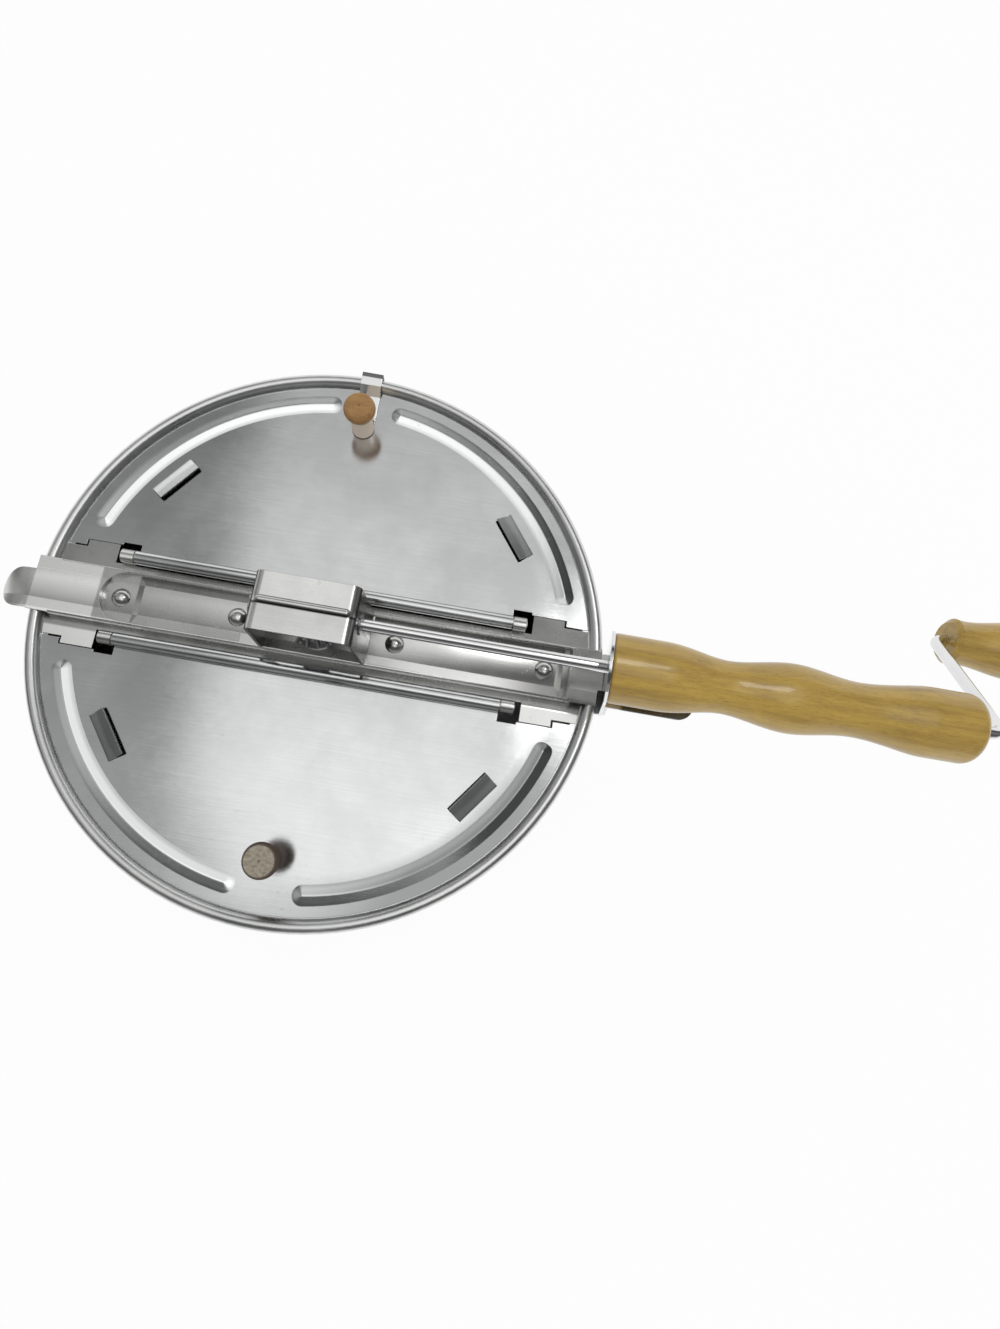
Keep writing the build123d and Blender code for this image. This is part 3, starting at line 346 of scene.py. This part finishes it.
def varnished_wood(name, base, dark, ring=0.006, coat=0.6, roughness=0.42, stretch=14.0,
                   side=None, below=None):
    """Turned wood under clear varnish, with its own colour below a height, or painted shade on steep sides.
    """
    material, tree, shader, where = new_material(name)
    grain = placed(tree, "Turned Grain", where, ring=ring, stretch=stretch)
    wear = placed(tree, "Handling Marks", where, cloud_size=0.035)
    tone = tree.mix(grain["Grain"], shade(base, 1.0), shade(dark, 1.0))
    tone = tree.mix(tree.math("MULTIPLY", wear["Clouds"], 0.3), tone, shade(base, 1.25))
    tone = tree.mix(tree.math("MULTIPLY", grain["Pores"], 0.45), tone, shade(dark, 0.6))
    if below is not None:
        level = tree.add("ShaderNodeSeparateXYZ", {0: where}).outputs["Z"]
        tone = tree.mix(tree.span(level, below, below + 0.0006), shade(side, 1.0), tone)
    # Painted shade: steep sides take the side colour.
    elif side is not None:
        facing = tree.add("ShaderNodeNewGeometry").outputs["Normal"]
        upward = tree.add("ShaderNodeSeparateXYZ", {0: facing}).outputs["Z"]
        tone = tree.mix(tree.span(upward, 0.55, 0.85), shade(side, 1.0), tone)
    inputs = {"Height": grain["Grain"], "Strength": 0.12, "Distance": GRAIN_DEPTH}
    height = tree.add("ShaderNodeBump", inputs)
    shader.inputs["Roughness"].default_value = roughness
    shader.inputs["Coat Weight"].default_value = coat
    shader.inputs["Coat Roughness"].default_value = 0.12
    shader.inputs["Specular IOR Level"].default_value = 0.3
    tree.tree.links.new(tone, shader.inputs["Base Color"])
    tree.tree.links.new(height.outputs[0], shader.inputs["Normal"])
    return material


GROUPS = {}


def finish(nodes, material):
    """Gives CAD nodes one finish."""
    for node in nodes:
        NODES[node].data.materials.clear()
        NODES[node].data.materials.append(material)


# ------------------------------------------------------------------ operators
class POPPER_OT_effects(bpy.types.Operator):
    """Build the shader groups that the finishes share"""

    bl_idname = "popper.effects"
    bl_label = "Shared Effects"

    def execute(self, context):
        GROUPS["Brush Lines"] = brush_lines()
        GROUPS["Handling Marks"] = handling_marks()
        GROUPS["Turned Grain"] = turned_grain()
        return {"FINISHED"}


class POPPER_OT_pan(bpy.types.Operator):
    """Finish the pan in spun aluminium"""

    bl_idname = "popper.pan"
    bl_label = "Pan"

    def execute(self, context):
        base = context.scene.popper_metals.pan
        spun = metal("spun aluminium", base, 0.3, lines=0.12, line_width=0.0006, marks=0.12)
        finish(["pan"], spun)
        finish(["bracket_rivets"], metal("bracket rivet", base, 0.3))
        return {"FINISHED"}


class POPPER_OT_lids(bpy.types.Operator):
    """Finish the half lids in brushed aluminium"""

    bl_idname = "popper.lids"
    bl_label = "Half Lids"

    def execute(self, context):
        metals = context.scene.popper_metals
        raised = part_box("hinge_strip")[0][2] + 0.0008
        # The lids get painted shade on steep sides and in one corner of the outer ring, and a painted
        # highlight on the raised ring.
        lid = metal("brushed aluminium", metals.lid, metals.lid_gloss, lines=0.4, line_width=0.0003,
                    marks=0.13, brushed=0.85, steep_side_shade=0.35, steep_shade_from=0.85, proud=raised,
                    shaded_corner=(0.045, 0.1), middle=HINGE_CLEAR)
        finish(["lid_north", "lid_south"], lid)
        finish(["knob_screw_north", "knob_screw_south"], metal("screw steel", metals.dark, 0.35))
        return {"FINISHED"}


class POPPER_OT_bridge(bpy.types.Operator):
    """Finish the bridge, its strip, its hinge wires and its rivets"""

    bl_idname = "popper.bridge"
    bl_label = "Bridge"

    def execute(self, context):
        metals = context.scene.popper_metals
        for node, name, leans in (("bridge_channel", "plated steel", CHANNEL_LEANS),
                                  ("hinge_strip", "strip steel", WING_LEANS)):
            sheet = metal(name, metals.bridge, 0.27, lines=0.12, line_width=0.0005, leans=leans)
            finish([node], sheet)
        finish(["hinge_wire_north", "hinge_wire_south"], metal("hinge wire", metals.polished, 0.18))
        finish(["bridge_rivets"], metal("bridge rivet", metals.bridge, 0.2))
        return {"FINISHED"}


class POPPER_OT_housing(bpy.types.Operator):
    """Finish the gear housing, gears and bushes"""

    bl_idname = "popper.housing"
    bl_label = "Gear Housing"

    def execute(self, context):
        metals = context.scene.popper_metals
        # The housing gets painted shade on its steep sides and in the fold under its bead.
        strap = metal("housing steel", metals.housing, 0.25, lines=0.3, line_width=0.0006, marks=0.2,
                      leans=HOUSING_LEANS, steep_side_shade=0.12, painted_shade_band=HOUSING_CREASE)
        finish(["gear_housing"], strap)
        finish(["crank_gear", "stirrer_gear", "crank_gear_pin", "stirrer_gear_pin"],
               metal("gear steel", metals.dark, 0.38))
        finish(["rod_bushes", "shaft_bush"], metal("bush steel", metals.dark, 0.3))
        return {"FINISHED"}


class POPPER_OT_crank(bpy.types.Operator):
    """Finish the crank rod, its nuts and the stirrer"""

    bl_idname = "popper.crank"
    bl_label = "Crank and Stirrer"

    def execute(self, context):
        metals = context.scene.popper_metals
        finish(["crank_rod", "stirrer_shaft", "stir_wire", "shaft_clip"],
               metal("polished rod", metals.polished, 0.12, marks=0.06))
        finish(["rod_push_nut", "knob_push_nut"], metal("push nut", metals.dark, 0.3))
        return {"FINISHED"}


class POPPER_OT_handle(bpy.types.Operator):
    """Finish the wooden handle, its bracket and the crank knob"""

    bl_idname = "popper.handle"
    bl_label = "Handle"

    def execute(self, context):
        metals = context.scene.popper_metals
        woods = context.scene.popper_woods
        wood = varnished_wood("handle wood", woods.handle, woods.handle_dark, ring=0.004)
        finish(["handle_grip", "crank_knob"], wood)
        # Painted shade: the bracket is coloured near black past BRACKET_NECK.
        bracket = metal("bracket steel in painted shade", metals.bracket, 0.3, near=(*BRACKET_NECK, metals.pan))
        finish(["handle_bracket"], bracket)
        finish(["grip_screws"], metal("grip screw", metals.dark, 0.3))
        finish(["bracket_end_plate"], metal("polished plate", metals.polished, 0.05))
        return {"FINISHED"}


class POPPER_OT_knobs(bpy.types.Operator):
    """Finish the lid knobs and the rim clip"""

    bl_idname = "popper.knobs"
    bl_label = "Lid Knobs and Rim Clip"

    def execute(self, context):
        metals = context.scene.popper_metals
        woods = context.scene.popper_woods
        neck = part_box("lid_knob_north")[0][2] + KNOB_NECK
        north = varnished_wood("north knob wood", woods.north, shade(woods.north, 0.6)[:3], ring=0.002,
                               coat=0.2, roughness=0.5, stretch=3.0, side=woods.stem, below=neck)
        finish(["lid_knob_north"], north)
        # The south knob's steep sides get painted shade.
        south = varnished_wood("south knob wood", woods.south, shade(woods.south, 0.45)[:3], ring=0.0012,
                               coat=0.0, roughness=0.7, stretch=1.5, side=woods.south_side_shade)
        finish(["lid_knob_south"], south)
        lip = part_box("rim_clip")[1][1]
        # The clip's lip gets a painted shade band.
        clip = metal("clip steel", metals.polished, 0.08, marks=0.03, leans=CLIP_LEANS,
                     painted_shade_band=(lip - CLIP_BAND, lip))
        finish(["rim_clip"], clip)
        return {"FINISHED"}


def area_light(name, place, target, size, radiance):
    """A rectangular soft lamp with a given radiance."""
    light = bpy.data.lights.new(name, "AREA")
    light.shape = "RECTANGLE"
    light.size, light.size_y = size
    light.energy = radiance * pi * size[0] * size[1]
    lamp = bpy.data.objects.new(name, light)
    lamp.location = place
    lamp.rotation_euler = (Vector(target) - Vector(place)).to_track_quat("-Z", "Y").to_euler()
    bpy.context.scene.collection.objects.link(lamp)


class POPPER_OT_stage(bpy.types.Operator):
    """Lay the floor, hang the lights and place the camera"""

    bl_idname = "popper.stage"
    bl_label = "Floor, Lights and Camera"

    def execute(self, context):
        stage = context.scene.popper_stage
        self.lay_floor(stage.floor)
        self.light_room(stage.room, stage.dome)
        area_light("window", WINDOW_PLACE, WINDOW_TARGET, WINDOW_SIZE, stage.window)
        self.place_camera(context.scene)
        context.scene.view_settings.view_transform = "Standard"
        return {"FINISHED"}

    def lay_floor(self, side):
        mesh = bpy.data.meshes.new("floor")
        half = side / 2
        corners = [(-half, -half, 0), (half, -half, 0), (half, half, 0), (-half, half, 0)]
        mesh.from_pydata(corners, [], [(0, 1, 2, 3)])
        floor = bpy.data.objects.new("floor", mesh)
        bpy.context.scene.collection.objects.link(floor)
        material, tree, shader, _ = new_material("floor white")
        shader.inputs["Base Color"].default_value = (0.9, 0.9, 0.9, 1)
        shader.inputs["Roughness"].default_value = 0.9
        glow = tree.add("ShaderNodeEmission", {"Color": (1, 1, 1, 1), "Strength": 1.0})
        path = tree.add("ShaderNodeLightPath")
        seen = tree.math("MAXIMUM", path.outputs["Is Camera Ray"], path.outputs["Is Glossy Ray"])
        seen = tree.math("MAXIMUM", seen, path.outputs["Is Transmission Ray"])
        blend = tree.add("ShaderNodeMixShader", {0: tree.math("MULTIPLY", seen, FLOOR_GLOW)})
        tree.tree.links.new(shader.outputs[0], blend.inputs[1])
        tree.tree.links.new(glow.outputs[0], blend.inputs[2])
        out = next(n for n in material.node_tree.nodes if n.type == "OUTPUT_MATERIAL")
        tree.tree.links.new(blend.outputs[0], out.inputs["Surface"])
        mesh.materials.append(material)

    def light_room(self, strength, dome):
        """Metal mirrors a room: a pale ceiling strip, dim to the left, dark to the right and the rear,
        and a white backdrop along the far horizon.

        Everything else is lit by a plain soft dome, and the camera sees a white backdrop.
        """
        world = bpy.data.worlds.new("studio room")
        world.use_nodes = True
        bpy.context.scene.world = world
        tree = Tree(world.node_tree)
        back = next(n for n in world.node_tree.nodes if n.type == "BACKGROUND")
        direction = tree.add("ShaderNodeTexCoord").outputs["Generated"]
        apart = tree.add("ShaderNodeSeparateXYZ", {0: direction})
        up = apart.outputs["Z"]
        height = tree.math("MAXIMUM", up, 0.02)
        right = tree.math("DIVIDE", apart.outputs["X"], height)
        rear = tree.math("DIVIDE", apart.outputs["Y"], height)
        axes = {"right": right, "rear": rear}
        front = tree.span(rear, 0.0, 0.1, 0.23, 0.0)
        ceiling = tree.math("ADD", tree.span(rear, 0.08, 0.5, 0.97, 0.65), front)
        for axis, low, high, at_low, at_high in ROOM_FADES:
            fade = tree.span(axes[axis], low, high, at_low, at_high)
            ceiling = tree.math("MULTIPLY", ceiling, fade)
        drift = tree.math("MAXIMUM", tree.math("SUBTRACT", -0.02, rear), 0.0)
        drift = tree.math("MULTIPLY", drift, 0.8)
        dim = tree.span(tree.math("SUBTRACT", right, drift), -0.36, -0.32, 0.36, 1.0)
        ceiling = tree.math("MULTIPLY", ceiling, dim)
        glow = tree.math("MULTIPLY", tree.span(right, -0.8, -0.5, 0.5, 0.0), tree.span(rear, 0.3, 0.6))
        glow = tree.math("MULTIPLY", glow, tree.span(rear, 0.7, 1.4, 1.0, 0.0))
        ceiling = tree.math("MAXIMUM", ceiling, glow)
        for axis, low, high, at_low, at_high in ROOM_HORIZONS:
            horizon = tree.span(axes[axis], low, high, at_low, at_high)
            ceiling = tree.math("MAXIMUM", ceiling, horizon)
        mirrored = tree.math("MULTIPLY", ceiling, strength)
        soft = tree.math("MULTIPLY", tree.span(up, 0.0, 1.0, 0.7, 1.15), dome)
        path = tree.add("ShaderNodeLightPath").outputs
        light = tree.add("ShaderNodeMix", {0: path["Is Glossy Ray"], 2: soft, 3: mirrored}).outputs[0]
        light = tree.add("ShaderNodeMix", {0: path["Is Camera Ray"], 2: light, 3: BACKDROP}).outputs[0]
        tree.tree.links.new(light, back.inputs["Strength"])
        back.inputs["Color"].default_value = (1.0, 1.0, 1.0, 1.0)

    def place_camera(self, scene):
        data = bpy.data.cameras.new("camera")
        data.sensor_fit = "HORIZONTAL"
        data.sensor_width = 36.0
        data.lens = 26.82
        data.shift_x = 0.0356
        data.shift_y = -0.0177
        data.clip_start = 0.01
        camera = bpy.data.objects.new("camera", data)
        camera.location = (0.0608, -0.0649, RIM_HEIGHT + 0.3077)
        camera.rotation_euler = Euler((radians(12.49), radians(-2.28), radians(9.52)))
        scene.collection.objects.link(camera)
        scene.camera = camera


OPERATORS = (POPPER_OT_effects, POPPER_OT_pan, POPPER_OT_lids, POPPER_OT_bridge, POPPER_OT_housing,
             POPPER_OT_crank, POPPER_OT_handle, POPPER_OT_knobs, POPPER_OT_stage)


class POPPER_PT_sidebar(bpy.types.Panel):
    """Lists the popper's pieces in the 3D view's sidebar"""

    bl_idname = "POPPER_PT_sidebar"
    bl_label = "Stovetop Popper"
    bl_space_type = "VIEW_3D"
    bl_region_type = "UI"
    bl_category = "Popper"

    def draw(self, context):
        for group in ("popper_metals", "popper_woods", "popper_stage"):
            box = self.layout.box()
            properties = getattr(context.scene, group)
            for key in properties.__annotations__:
                box.prop(properties, key)
        for operator in OPERATORS:
            self.layout.operator(operator.bl_idname)


PROPERTY_GROUPS = {"popper_metals": PopperMetals, "popper_woods": PopperWoods, "popper_stage": PopperStage}


def register():
    for key, group in PROPERTY_GROUPS.items():
        bpy.utils.register_class(group)
        setattr(bpy.types.Scene, key, PointerProperty(type=group))
    for operator in OPERATORS:
        bpy.utils.register_class(operator)
    bpy.utils.register_class(POPPER_PT_sidebar)


def unregister():
    bpy.utils.unregister_class(POPPER_PT_sidebar)
    for operator in reversed(OPERATORS):
        bpy.utils.unregister_class(operator)
    for key, group in PROPERTY_GROUPS.items():
        delattr(bpy.types.Scene, key)
        bpy.utils.unregister_class(group)


def main():
    register()
    for operator in OPERATORS:
        group, name = operator.bl_idname.split(".")
        getattr(getattr(bpy.ops, group), name)()


if __name__ == "__main__":
    main()
